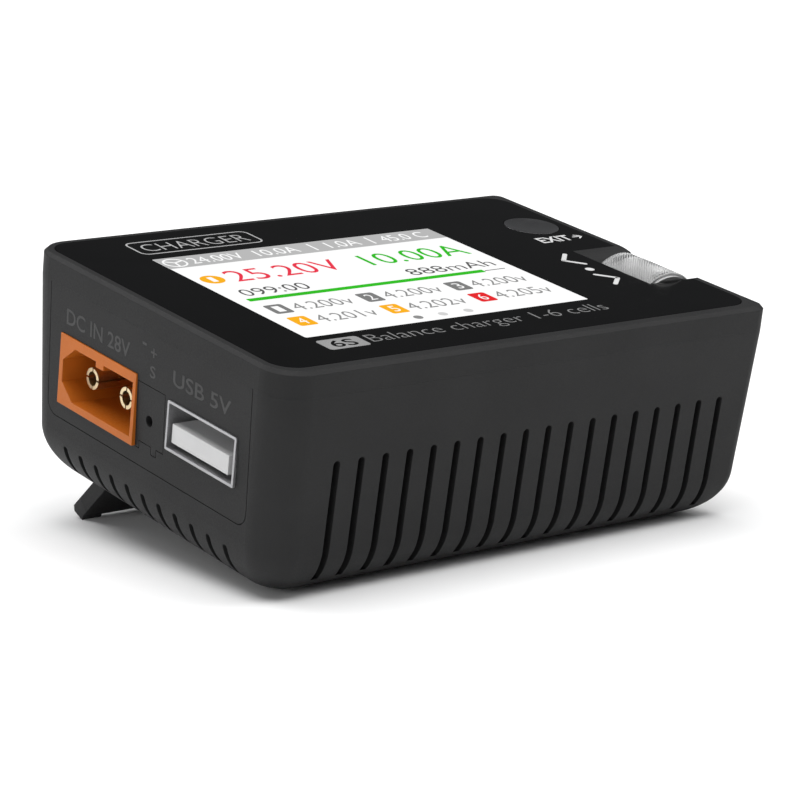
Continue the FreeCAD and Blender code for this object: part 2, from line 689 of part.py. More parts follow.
def usb_shell():
    y, z = USB_YZ
    half_y, half_z = USB_SIZE[0] / 2, USB_SIZE[1] / 2
    x = (INPUT_FACE_X, INPUT_FACE_X + USB_DEPTH)
    outer = end_plate(half_y, half_z, 0.15, x, USB_YZ)
    hollow = end_plate(half_y - USB_WALL, half_z - USB_WALL, 0.1, (x[0] - 1, x[1] - USB_WALL), USB_YZ)
    legs = []
    for side in (-1, 1):
        middle = y + side * (half_y - 0.2)
        legs.append(box((x[0] + 9, x[0] + 11), (middle - USB_WALL / 2, middle + USB_WALL / 2),
                        (MAIN_TOP - MAIN_T, z - 1)))
    return outer.cut(hollow).multiFuse(legs)


def usb_tongue():
    """The plastic tongue and the block it grows from."""
    y, z = USB_YZ
    front, back = INPUT_FACE_X + 0.3, INPUT_FACE_X + USB_DEPTH - 0.35
    tongue_y = (y + USB_TONGUE_Y[0], y + USB_TONGUE_Y[1])
    tongue = box((front, back), tongue_y, (z + USB_TONGUE_Z[0], z + USB_TONGUE_Z[1]))
    stop = box((back - 3.5, back), (y - 6.3, y + 6.3), (z - 2.5, z + 2.5))
    return tongue.fuse(stop)


def usb_contacts():
    y, z = USB_YZ
    strips = []
    x = (INPUT_FACE_X + USB_CONTACT_START, INPUT_FACE_X + 10.0)
    low = z + USB_TONGUE_Z[1]
    for offset in (-3.5, -1.0, 1.0, 3.5):
        strips.append(box(x, (y + offset - 0.5, y + offset + 0.5), (low, low + 0.12)))
    return group(strips)


def balance_socket():
    y, z = BALANCE_YZ
    half_y, half_z = BALANCE_SIZE[0] / 2, BALANCE_SIZE[1] / 2
    depth = (PORT_FACE_X - BALANCE_DEPTH, PORT_FACE_X)
    block = box(depth, (y - half_y, y + half_y), (z - half_z, z + half_z))
    inner_y, inner_z = half_y - BALANCE_WALL, half_z - BALANCE_WALL
    cavity = box((PORT_FACE_X - 7.0, PORT_FACE_X + 1), (y - inner_y, y + inner_y), (z - inner_z, z + inner_z))
    slots = []
    for offset in (-half_y + 2.4, half_y - 2.4):
        slots.append(box((PORT_FACE_X - 5.0, PORT_FACE_X + 1), (y + offset - 0.7, y + offset + 0.7),
                         (z + half_z - 2.0, z + half_z + 1)))
    holes = [balance_bar(pin_y, (PORT_FACE_X - 12, PORT_FACE_X)) for pin_y in balance_rows()]
    return block.cut([cavity] + slots + holes)


def balance_rows():
    middle = (BALANCE_PINS - 1) / 2
    return [BALANCE_YZ[0] + (i - middle) * BALANCE_PITCH for i in range(BALANCE_PINS)]


def balance_bar(y, x):
    """The square section of one balance pin between two x."""
    z, half = BALANCE_YZ[1], BALANCE_PIN_HALF
    return box(x, (y - half, y + half), (z - half, z + half))


def balance_pins():
    half = BALANCE_PIN_HALF
    back = PORT_FACE_X - BALANCE_DEPTH - 0.7
    leg_z = (MAIN_TOP - MAIN_T, BALANCE_YZ[1] - half)
    pins = []
    for y in balance_rows():
        leg = box((back, back + 2 * half), (y - half, y + half), leg_z)
        pins.append(balance_bar(y, (back, PORT_FACE_X - 1.5)).fuse(leg))
    return group(pins)


# ---------------------------------------------------------------- boards and what is on them

def main_board():
    half_x, half_y = MAIN_HALF
    board = rounded_plate(half_x, half_y, 2.5, (MAIN_TOP - MAIN_T, MAIN_TOP))
    holes = [rod(1.1, (x, y, -30), (x, y, 0)) for x, y in board_corners()]
    legs = [inlet_pins(), outlet_sockets(), balance_pins(), usb_shell()]
    return board.cut(holes).cut(legs)


def board_screws():
    screws = []
    for x, y in board_corners():
        head = rod(1.8, (x, y, MAIN_TOP), (x, y, MAIN_TOP + 1.1))
        drive = box((x - 1.2, x + 1.2), (y - 0.2, y + 0.2), (MAIN_TOP + 0.6, MAIN_TOP + 2))
        shank = rod(SCREW_HOLE_R, (x, y, -23.5), (x, y, MAIN_TOP + 0.2))
        screws.append(head.fuse(shank).cut([drive, drive_turned(drive, x, y)]))
    return group(screws)


def drive_turned(slot, x, y):
    turned = slot.copy()
    turned.rotate(Vector(x, y, 0), Vector(0, 0, 1), 90)
    return turned


def ui_posts():
    return [(-31.0, 21.0), (31.0, 20.2), (-31.0, -21.0), (28.0, -20.6)]


def ui_board():
    board = rounded_plate(33.0, 22.6, 2.0, (UI_TOP - UI_T, UI_TOP))
    corner = box((24.6, 40.0), (-18.0, 3.0), (-10, 0))
    holes = [rod(0.85, (x, y, -10), (x, y, 0)) for x, y in ui_posts()]
    return board.cut([corner] + holes)


def ui_screws():
    screws = []
    low = UI_TOP - UI_T
    for x, y in ui_posts():
        head = rod(1.5, (x, y, low - 0.9), (x, y, low))
        slot = box((x - 1.0, x + 1.0), (y - 0.18, y + 0.18), (low - 2, low - 0.5))
        shank = rod(UI_HOLE_R, (x, y, low - 0.1), (x, y, UI_TOP + 2.6))
        screws.append(head.fuse(shank).cut([slot, drive_turned(slot, x, y)]))
    return group(screws)


def board_header():
    """The pin header that joins the two boards along the back edge."""
    strip = box((-9.0, 9.0), (19.4, 21.9), (MAIN_TOP, MAIN_TOP + 2.5))
    upper = box((-9.0, 9.0), (19.4, 21.9), (UI_TOP - UI_T - 2.5, UI_TOP - UI_T))
    pins = []
    for i in range(7):
        x = (i - 3) * 2.54
        pins.append(box((x - 0.32, x + 0.32), (20.33, 20.97), (MAIN_TOP + 2, UI_TOP - UI_T - 2)))
    return join([strip, upper] + pins)


def inductor_cores():
    """Two ferrite cores: a top and a bottom plate joined by a round post."""
    cores = []
    mid_x = (INDUCTOR_X[0] + INDUCTOR_X[1]) / 2
    for y in INDUCTOR_Y:
        plates = [plate_between(INDUCTOR_X, (y - 6.5, y + 6.5), 1.2, (low, low + 1.6))
                  for low in (MAIN_TOP, MAIN_TOP + 6.0)]
        post = rod(2.6, (mid_x, y, MAIN_TOP + 1), (mid_x, y, MAIN_TOP + 7))
        cores.append(join(plates + [post]))
    return group(cores)


def inductor_windings():
    mid_x = (INDUCTOR_X[0] + INDUCTOR_X[1]) / 2
    coils = []
    for y in INDUCTOR_Y:
        turns = []
        for i in range(4):
            low = MAIN_TOP + 1.65 + i * 1.09
            turns.append(tube(5.6, 2.65, (mid_x, y, low), (mid_x, y, low + 1.0)))
            if i:
                turns.append(tube(5.2, 2.65, (mid_x, y, low - 0.2), (mid_x, y, low + 0.1)))
        coils.append(join(turns))
    return group(coils)


def capacitors():
    cans = []
    for x, y in ((4.5, -17.5), (11.5, -17.5), (4.5, 14.0), (11.5, 14.0), (4.0, -3.0), (11.0, -3.0)):
        can = rod(3.15, (x, y, MAIN_TOP + 0.8), (x, y, MAIN_TOP + 8.0))
        base = box((x - 3.3, x + 3.3), (y - 3.3, y + 3.3), (MAIN_TOP, MAIN_TOP + 1.0))
        cans.append(can.fuse(base))
    return group(cans)


def controller_chips():
    z = (MAIN_TOP, MAIN_TOP + CHIP_T)
    return group([box((5.0, 12.0), (3.0, 9.5), z), box((-2.7, 0.3), (10.5, 15.5), z)])


def buzzer():
    x, y = 18.5, -16.8
    can = rod(3.4, (x, y, MAIN_TOP), (x, y, MAIN_TOP + 4.0))
    return can.cut(rod(0.7, (x, y, MAIN_TOP + 3), (x, y, MAIN_TOP + 5)))


def mosfets():
    chips = []
    top = MAIN_TOP - MAIN_T
    for i in range(2):
        for j in range(3):
            x = HEATSINK_X[0] + 1.2 + i * 7.0
            y = HEATSINK_Y[0] + 0.8 + j * 6.0
            chips.append(box((x, x + 5.2), (y, y + 5.0), (top - CHIP_T, top)))
    return group(chips)


def thermal_pad():
    top = MAIN_TOP - MAIN_T - CHIP_T
    inset = 0.4
    x = (HEATSINK_X[0] + inset, HEATSINK_X[1] - inset)
    y = (HEATSINK_Y[0] + inset, HEATSINK_Y[1] - inset)
    return box(x, y, (top - PAD_T, top))


def heatsink():
    top = MAIN_TOP - MAIN_T - CHIP_T - PAD_T
    sink = [box(HEATSINK_X, HEATSINK_Y, (top - 1.2, top))]
    for i in range(8):
        x = HEATSINK_X[0] + 0.1 + i * 1.95
        sink.append(box((x, x + 0.7), HEATSINK_Y, (-24.9, top - 1.0)))
    return join(sink)


# ---------------------------------------------------------------- fan

def fan_frame():
    cx, cy = FAN_XY
    half = FAN_SIZE / 2
    frame = rounded_plate(half, half, 1.5, FAN_Z, FAN_XY)
    throat = rod(half - 1.0, (cx, cy, FAN_Z[0] - 1), (cx, cy, FAN_Z[1] + 1))
    holes = [rod(SCREW_HOLE_R, (x, y, FAN_Z[0] - 1), (x, y, FAN_Z[1] + 1)) for x, y in fan_corners()]
    shelf = FAN_Z[1] - 0.9
    plate = rod(5.0, (cx, cy, shelf), (cx, cy, FAN_Z[1]))
    arms = []
    for turn in (20, 140, 260):
        arm = box((3.0, half - 0.3), (-0.7, 0.7), (shelf, FAN_Z[1]))
        arm.rotate(Vector(0, 0, 0), Vector(0, 0, 1), turn)
        arm.translate(Vector(cx, cy, 0))
        arms.append(arm)
    shaft = rod(SHAFT_R, (cx, cy, FAN_Z[0] + 1.6), (cx, cy, FAN_Z[1] - 0.5))
    return frame.cut([throat]).multiFuse([plate, shaft] + arms).cut(holes)


def fan_rotor():
    """A cup-shaped hub with seven pitched blades, turning on the frame's shaft."""
    cx, cy = FAN_XY
    low, high = FAN_Z[0] + 0.5, FAN_Z[1] - 1.2
    hub = rod(HUB_R, (cx, cy, low), (cx, cy, high))
    cup = tube(HUB_R - 0.7, 1.6, (cx, cy, low + 1.0), (cx, cy, high + 1))
    bore = rod(SHAFT_R + RUNNING_GAP, (cx, cy, low + 0.9), (cx, cy, high + 1))
    blades = []
    for i in range(BLADES):
        blade = box((HUB_R - 0.6, ROTOR_R), (-0.35, 0.35), (-3.2, 3.2))
        blade.rotate(Vector(0, 0, 0), Vector(1, 0, 0), BLADE_PITCH)
        blade.rotate(Vector(0, 0, 0), Vector(0, 0, 1), i * 360 / BLADES)
        blade.translate(Vector(cx, cy, (low + high) / 2))
        blades.append(blade)
    swept = rod(ROTOR_R, (cx, cy, low + 0.1), (cx, cy, high - 0.1))
    blades = [blade.common(swept) for blade in blades]
    return hub.multiFuse(blades).cut([cup, bore])


def fan_screws():
    screws = []
    for x, y in fan_corners():
        low = -HEIGHT + 0.15
        head = rod(1.9, (x, y, low), (x, y, -HEIGHT + 0.8))
        shank = rod(SCREW_HOLE_R, (x, y, -HEIGHT + 0.7), (x, y, FAN_Z[1] - 2.0))
        slot = box((x - 1.2, x + 1.2), (y - 0.2, y + 0.2), (low - 1, low + 0.35))
        screws.append(head.fuse(shank).cut([slot, drive_turned(slot, x, y)]))
    return group(screws)


# ---------------------------------------------------------------- stand and feet

def on_leg(points, x):
    """A prism from points given along the leg and across it, measured from the hinge."""
    along = (math.cos(STAND_ANGLE), -math.sin(STAND_ANGLE))
    across = (math.sin(STAND_ANGLE), math.cos(STAND_ANGLE))
    y0, z0 = HINGE_YZ
    placed = [(y0 + u * along[0] + n * across[0], z0 + u * along[1] + n * across[1]) for u, n in points]
    return prism_x(placed, x)


def stand():
    y, z = HINGE_YZ
    low, high = LEG_FACES
    knuckle = rod(KNUCKLE_R, (-STAND_HALF_X, y, z), (STAND_HALF_X, y, z))
    cut = 0.4
    profile = [(0, -KNUCKLE_R), (1.5, low), (LEG_LENGTH - cut, low), (LEG_LENGTH, low + cut),
               (LEG_LENGTH, high - cut), (LEG_LENGTH - cut, high), (0, high)]
    leg = on_leg(profile, (-STAND_HALF_X, STAND_HALF_X))
    body = knuckle.fuse(leg)
    cutters = []
    for x in (-LUG_X, LUG_X):
        ends = (x - LUG_W / 2 - 0.15, x + LUG_W / 2 + 0.15)
        cutters.append(rod(KNUCKLE_R + 0.55, (ends[0], y, z), (ends[1], y, z)))
    for side in (-1, 1):
        cutters.append(hinge_pin(side))
        tip_x = sorted((side * (STAND_HALF_X - PAD_W), side * (STAND_HALF_X + 1)))
        beyond = LEG_LENGTH + 2
        cutters.append(on_leg([(PAD_ROOT, -5), (beyond, -5), (beyond, 5), (PAD_ROOT, 5)], tip_x))
    return body.cut(cutters).removeSplitter()


def hinge_pin(side):
    y, z = HINGE_YZ
    inner = side * (LUG_X - HINGE_PIN_HALF)
    outer = side * (LUG_X + HINGE_PIN_HALF)
    return rod(HINGE_PIN_R, (inner, y, z), (outer, y, z))


def stand_pins():
    return group([hinge_pin(-1), hinge_pin(1)])


def stand_pads():
    """Two rubber tips, a little longer than the leg between them."""
    pads = []
    low, high = LEG_FACES
    for side in (-1, 1):
        x = sorted((side * (STAND_HALF_X - PAD_W), side * STAND_HALF_X))
        pads.append(on_leg([(PAD_ROOT, low), (7.4, low), PAD_TIP[0], PAD_TIP[1], (8.4, high),
                            (PAD_ROOT, high)], x))
    return group(pads)


def foot(x, grow=0.0):
    half_x, half_y = FOOT_HALF
    centre = (x, FOOT_FRONT_Y + half_y)
    return rounded_plate(half_x + grow, half_y + grow, half_y - 0.2, FOOT_Z, centre)


def rubber_feet():
    return group([foot(-FOOT_X), foot(FOOT_X)])


# ---------------------------------------------------------------- the whole charger

NODES = {
    "lower_shell": lower_shell,
    "top_cover": top_cover,
    "front_panel": front_panel,
    "display_screen": display_screen,
    "lcd_module": lcd_module,
    "backlight_tray": backlight_tray,
    "display_flex": display_flex,
    "exit_button": exit_button,
    "exit_switch": exit_switch,
    "roller": roller,
    "roller_axle": roller_axle,
    "roller_carrier": roller_carrier,
    "roller_encoder": roller_encoder,
    "press_switch": press_switch,
    "left_end_panel": left_end_panel,
    "right_end_panel": right_end_panel,
    "signal_port": signal_port,
    "inlet_housing": inlet_housing,
    "inlet_pins": inlet_pins,
    "outlet_housing": outlet_housing,
    "outlet_sockets": outlet_sockets,
    "usb_shell": usb_shell,
    "usb_tongue": usb_tongue,
    "usb_contacts": usb_contacts,
    "balance_socket": balance_socket,
    "balance_pins": balance_pins,
    "main_board": main_board,
    "board_screws": board_screws,
    "ui_board": ui_board,
    "ui_screws": ui_screws,
    "board_header": board_header,
    "inductor_cores": inductor_cores,
    "inductor_windings": inductor_windings,
    "capacitors": capacitors,
    "controller_chips": controller_chips,
    "buzzer": buzzer,
    "mosfets": mosfets,
    "thermal_pad": thermal_pad,
    "heatsink": heatsink,
    "fan_frame": fan_frame,
    "fan_rotor": fan_rotor,
    "fan_screws": fan_screws,
    "stand": stand,
    "stand_pins": stand_pins,
    "stand_pads": stand_pads,
    "rubber_feet": rubber_feet,
}


def standing_tilt():
    """The angle between the case's base and the surface: front feet to stand tips."""
    u, n = PAD_TIP[0]
    tip_y = HINGE_YZ[0] + u * math.cos(STAND_ANGLE) + n * math.sin(STAND_ANGLE)
    tip_z = HINGE_YZ[1] - u * math.sin(STAND_ANGLE) + n * math.cos(STAND_ANGLE)
    return math.degrees(math.atan2(FOOT_Z[0] - tip_z, tip_y - FOOT_FRONT_Y))


def main():
    os.makedirs("parts", exist_ok=True)
    tilt = standing_tilt()
    shapes = {}
    whole = FreeCAD.BoundBox()
    for name, make in NODES.items():
        shape = make()
        shape.rotate(Vector(0, 0, 0), Vector(1, 0, 0), tilt)
        whole.add(shape.optimalBoundingBox(False, False))
        shapes[name] = shape
    origin = Vector(whole.Center.x, whole.Center.y, whole.ZMin)
    for name, shape in shapes.items():
        shape.translate(-origin)
        if not shape.isValid():
            print("not valid:", name)
        print(f"{name:20s} solids {len(shape.Solids):2d}  volume {shape.Volume:9.2f}")
        shape.exportStep(f"parts/{name}.step")

    turn = FreeCAD.Rotation(Vector(1, 0, 0), tilt)
    landmarks = {
        "stand hinge": Vector(0, *HINGE_YZ),
        "exit button": Vector(BUTTON_XY[0], BUTTON_XY[1], 0),
        "roller axis": Vector(ROLLER_XZ[0], ROLLER_Y[1], ROLLER_XZ[1]),
        "fan axis": Vector(FAN_XY[0], FAN_XY[1], FAN_Z[0]),
        "inlet pin": Vector(INPUT_FACE_X + 3, pin_rows(INLET_YZ)[0], INLET_PIN_Z),
        "outlet bore": Vector(PORT_FACE_X - 4, pin_rows(OUTLET_YZ)[0], OUTLET_YZ[1]),
        "usb mouth": Vector(INPUT_FACE_X, *USB_YZ),
        "balance mouth": Vector(PORT_FACE_X, *BALANCE_YZ),
        "base face": Vector(0, 6.0, -HEIGHT),
    }
    print("tilt", round(tilt, 4), "size", whole.XLength, whole.YLength, whole.ZLength)
    print("origin in the case's frame", turn.inverted().multVec(origin))
    for name, point in landmarks.items():
        placed = turn.multVec(point) - origin
        print(f"{name:20s} {placed.x:9.4f} {placed.y:9.4f} {placed.z:9.4f}")
    print("case up", turn.multVec(Vector(0, 0, 1)), "case back", turn.multVec(Vector(0, 1, 0)))


main()
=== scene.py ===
import json
import math

import bmesh
import bpy
from mathutils import Matrix, Vector


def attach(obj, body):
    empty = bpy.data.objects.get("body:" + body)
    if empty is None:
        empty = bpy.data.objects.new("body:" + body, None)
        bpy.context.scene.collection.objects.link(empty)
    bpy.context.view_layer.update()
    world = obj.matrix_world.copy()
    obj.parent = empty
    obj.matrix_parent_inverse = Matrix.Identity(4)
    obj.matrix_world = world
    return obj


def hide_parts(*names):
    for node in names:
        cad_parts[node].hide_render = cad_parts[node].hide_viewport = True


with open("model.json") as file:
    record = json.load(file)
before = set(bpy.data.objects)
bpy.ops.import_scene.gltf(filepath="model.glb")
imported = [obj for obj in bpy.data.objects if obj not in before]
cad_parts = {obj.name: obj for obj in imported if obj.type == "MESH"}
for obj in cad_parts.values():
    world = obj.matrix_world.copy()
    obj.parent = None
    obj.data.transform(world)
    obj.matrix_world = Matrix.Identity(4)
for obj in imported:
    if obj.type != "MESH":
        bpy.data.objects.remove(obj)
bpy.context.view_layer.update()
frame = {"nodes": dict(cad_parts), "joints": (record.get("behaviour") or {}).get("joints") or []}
NODES = frame["nodes"]
MM = 0.001

# The case leans back on its stand. CASE turns the case's own millimetres (origin in the middle of
# the top face, +Z out of the screen) into the frame's metres. The joints say where the case is.
JOINTS = {joint["name"]: joint for joint in frame["joints"]}
CASE_UP = Vector(JOINTS["fan_spin"]["axis"])
CASE_BACK = Vector(JOINTS["roller_spin"]["axis"])
CASE_RIGHT = CASE_BACK.cross(CASE_UP)
HINGE_IN_CASE = Vector((0.175, 15.5, -26.5))
CASE_TURN = Matrix((CASE_RIGHT, CASE_BACK, CASE_UP)).transposed()
CASE_ORIGIN = Vector(JOINTS["stand_hinge"]["pos_m"]) - CASE_TURN @ (HINGE_IN_CASE * MM)
CASE = Matrix.Translation(CASE_ORIGIN) @ CASE_TURN.to_4x4() @ Matrix.Scale(MM, 4)


# ---------------------------------------------------------------- camera, floor and light

CAMERA_AT = Vector((-0.21394, -0.27465, 0.08866))
CAMERA_AZIMUTH = -37.976
CAMERA_ELEVATION = 11.959
CAMERA_ROLL = 0.32
CAMERA_LENS = 134.8


SENSOR_WIDTH = 36
WORLD_COLOUR = (0.95, 0.97, 1.0, 1.0)
WORLD_STRENGTH = 0.11
SUN_FROM = (-0.05, -0.12, 1.0)
SUN_STRENGTH = 3.3
SUN_SPREAD = 60.0
FILL_SIZE = (0.6, 0.4)
BEVEL_LIGHT_SIZE = (0.5, 0.5)
LAMP_WATTS = 2.4
FLOOR_SIZE = 8.0
FLOOR_COLOUR = (0.86, 0.86, 0.86)
FLOOR_ROUGHNESS = 0.75


def make_camera():
    data = bpy.data.cameras.new("camera")
    data.lens = CAMERA_LENS
    data.sensor_width = SENSOR_WIDTH
    data.clip_start = 0.01
    camera = bpy.data.objects.new("camera", data)
    bpy.context.scene.collection.objects.link(camera)
    azimuth, elevation = math.radians(CAMERA_AZIMUTH), math.radians(CAMERA_ELEVATION)
    turn = Matrix.Rotation(azimuth, 4, "Z") @ Matrix.Rotation(math.pi / 2 - elevation, 4, "X")
    roll = Matrix.Rotation(math.radians(CAMERA_ROLL), 4, "Z")
    camera.matrix_world = Matrix.Translation(CAMERA_AT) @ turn @ roll
    bpy.context.scene.camera = camera


def area_light(name, place, target, size, watts):
    """A rectangular light at place, turned to face target."""
    data = bpy.data.lights.new(name, "AREA")
    data.shape = "RECTANGLE"
    data.size, data.size_y = size
    data.energy = watts
    light = bpy.data.objects.new(name, data)
    bpy.context.scene.collection.objects.link(light)
    light.location = place
    light.rotation_mode = "QUATERNION"
    light.rotation_quaternion = (Vector(target) - Vector(place)).to_track_quat("-Z", "Y")


def sun_light(name, direction, strength, spread_degrees):
    """A broad soft light from far away; direction points from the object to it."""
    data = bpy.data.lights.new(name, "SUN")
    data.energy = strength
    data.angle = math.radians(spread_degrees)
    light = bpy.data.objects.new(name, data)
    bpy.context.scene.collection.objects.link(light)
    light.rotation_mode = "QUATERNION"
    light.rotation_quaternion = (-Vector(direction)).to_track_quat("-Z", "Y")


def make_studio():
    scene = bpy.context.scene
    scene.view_settings.view_transform = "Standard"
    world = bpy.data.worlds.new("studio")
    world.use_nodes = True
    background = world.node_tree.nodes["Background"]
    background.inputs["Color"].default_value = WORLD_COLOUR
    background.inputs["Strength"].default_value = WORLD_STRENGTH
    scene.world = world
    sun_light("overhead", SUN_FROM, SUN_STRENGTH, SUN_SPREAD)
    area_light("left_fill", (-0.9, -0.25, 0.3), (0, 0, 0.01), FILL_SIZE, LAMP_WATTS)
    area_light("front_bevel_light", (0.54, -0.36, 0.60), (0, 0, 0.02), BEVEL_LIGHT_SIZE, LAMP_WATTS)
    area_light("left_bevel_light", (-0.27, 0.58, 0.62), (0, 0, 0.02), BEVEL_LIGHT_SIZE, LAMP_WATTS)
    bpy.ops.mesh.primitive_plane_add(size=FLOOR_SIZE, location=(0, 0, 0))
    floor = bpy.context.object
    floor.name = "floor"
    floor.data.materials.append(plain_surface("floor", FLOOR_COLOUR, FLOOR_ROUGHNESS))


# ---------------------------------------------------------------- materials

class Recipe:
    """One procedural material: a Principled shader with its colour, roughness and bump from noise."""

    def __init__(self, name):
        self.material = bpy.data.materials.new(name)
        self.material.use_nodes = True
        self.tree = self.material.node_tree
        self.shader = self.tree.nodes["Principled BSDF"]
        self.coordinates = self.add("ShaderNodeTexCoord").outputs["Object"]

    def add(self, kind, **values):
        node = self.tree.nodes.new(kind)
        for key, value in values.items():
            setattr(node, key, value)
        return node

    def link(self, source, target):
        self.tree.links.new(source, target)

    def noise(self, grain_mm, detail=3.0, stretch=(1, 1, 1)):
        """Noise whose blotches are about grain_mm across; stretch above 1 packs them closer on that axis."""
        mapping = self.add("ShaderNodeMapping")
        mapping.inputs["Scale"].default_value = [1 / (grain_mm * MM) * s for s in stretch]
        texture = self.add("ShaderNodeTexNoise")
        texture.inputs["Scale"].default_value = 1.0
        texture.inputs["Detail"].default_value = detail
        self.link(self.coordinates, mapping.inputs["Vector"])
        self.link(mapping.outputs["Vector"], texture.inputs["Vector"])
        return texture.outputs["Fac"]

    def ramp(self, value, low, high, low_at=0.35, high_at=0.65):
        ramp = self.add("ShaderNodeValToRGB")
        ends = ramp.color_ramp.elements
        ends[0].position, ends[1].position = low_at, high_at
        ends[0].color = (*low, 1.0)
        ends[1].color = (*high, 1.0)
        self.link(value, ramp.inputs["Fac"])
        return ramp.outputs["Color"]

    def spread(self, value, low, high):
        """Maps noise onto a range, for roughness."""
        node = self.add("ShaderNodeMapRange")
        node.inputs["From Min"].default_value = 0.3
        node.inputs["From Max"].default_value = 0.7
        node.inputs["To Min"].default_value = low
        node.inputs["To Max"].default_value = high
        self.link(value, node.inputs["Value"])
        return node.outputs["Result"]

    def edge(self, radius_mm):
        """A softened edge, as moulding or stamping leaves it."""
        node = self.add("ShaderNodeBevel", samples=4)
        node.inputs["Radius"].default_value = radius_mm * MM
        return node.outputs["Normal"]

    def relief(self, height, depth_mm, strength, normal=None):
        node = self.add("ShaderNodeBump")
        node.inputs["Strength"].default_value = strength
        node.inputs["Distance"].default_value = depth_mm * MM
        self.link(height, node.inputs["Height"])
        if normal is not None:
            self.link(normal, node.inputs["Normal"])
        self.link(node.outputs["Normal"], self.shader.inputs["Normal"])

    def set(self, **values):
        for key, value in values.items():
            self.shader.inputs[key.replace("_", " ")].default_value = value


def shade(colour, factor):
    return tuple(min(channel * factor, 1.0) for channel in colour)


def plain_surface(name, colour, rough, variation=0.03):
    recipe = Recipe(name)
    clouds = recipe.noise(180, 2.0)
    tint = recipe.ramp(clouds, shade(colour, 1 - variation), shade(colour, 1 + variation))
    recipe.link(tint, recipe.shader.inputs["Base Color"])
    roughness = recipe.spread(recipe.noise(3.0), rough - 0.05, rough + 0.05)
    recipe.link(roughness, recipe.shader.inputs["Roughness"])
    recipe.relief(recipe.noise(1.2), 0.02, 0.1)
    return recipe.material


def moulded(name, colour, rough, grain_mm=0.16, bump=0.35, edge_mm=0.12, gloss=0.5, variation=0.10):
    """Moulded plastic: a spark-eroded grain, faint flow clouds and soft edges."""
    recipe = Recipe(name)
    clouds = recipe.noise(9.0, 4.0)
    grain = recipe.noise(grain_mm, 2.0)
    tint = recipe.ramp(clouds, shade(colour, 1 - variation), shade(colour, 1 + variation), 0.3, 0.7)
    recipe.link(tint, recipe.shader.inputs["Base Color"])
    recipe.link(recipe.spread(grain, rough - 0.07, rough + 0.07), recipe.shader.inputs["Roughness"])
    recipe.set(Specular_IOR_Level=gloss)
    recipe.relief(grain, 0.02, bump, recipe.edge(edge_mm))
    return recipe.material


def metal(name, colour, rough, stretch=(1, 1, 1), grain_mm=0.25, bump=0.2, edge_mm=0.08, variation=0.12):
    """Metal with fine drawn or rolled lines along the axis that stretch leaves at 1."""
    recipe = Recipe(name)
    lines = recipe.noise(grain_mm, 3.0, stretch)
    tint = recipe.ramp(lines, shade(colour, 1 - variation), shade(colour, 1 + variation))
    recipe.link(tint, recipe.shader.inputs["Base Color"])
    roughness = recipe.spread(recipe.noise(2.5, 4.0), rough - 0.06, rough + 0.08)
    recipe.link(roughness, recipe.shader.inputs["Roughness"])
    recipe.set(Metallic=1.0)
    recipe.relief(lines, 0.01, bump, recipe.edge(edge_mm))
    return recipe.material


def lit(name, colour, strength, rough=0.4, variation=0.02):
    """A lit part of the screen: its own light, with the slight unevenness of a backlight."""
    recipe = Recipe(name)
    clouds = recipe.noise(14.0, 2.0)
    tint = recipe.ramp(clouds, shade(colour, 1 - variation), shade(colour, 1 + variation))
    recipe.link(tint, recipe.shader.inputs["Emission Color"])
    base = recipe.ramp(clouds, shade(colour, 0.02), shade(colour, 0.03))
    recipe.link(base, recipe.shader.inputs["Base Color"])
    roughness = recipe.spread(recipe.noise(0.5), rough - 0.04, rough + 0.04)
    recipe.link(roughness, recipe.shader.inputs["Roughness"])
    recipe.set(Emission_Strength=strength, Specular_IOR_Level=0.02)
    return recipe.material


def board_material(name):
    """Solder mask over copper: lighter where tracks run under it."""
    recipe = Recipe(name)
    tracks = recipe.add("ShaderNodeTexBrick")
    tracks.inputs["Scale"].default_value = 350.0
    tracks.inputs["Mortar Size"].default_value = 0.03
    recipe.link(recipe.coordinates, tracks.inputs["Vector"])
    tint = recipe.ramp(tracks.outputs["Fac"], (0.010, 0.065, 0.028), (0.022, 0.13, 0.05), 0.1, 0.9)
    recipe.link(tint, recipe.shader.inputs["Base Color"])
    recipe.link(recipe.spread(recipe.noise(0.6), 0.28, 0.42), recipe.shader.inputs["Roughness"])
    recipe.relief(tracks.outputs["Fac"], 0.02, 0.3)
    return recipe.material


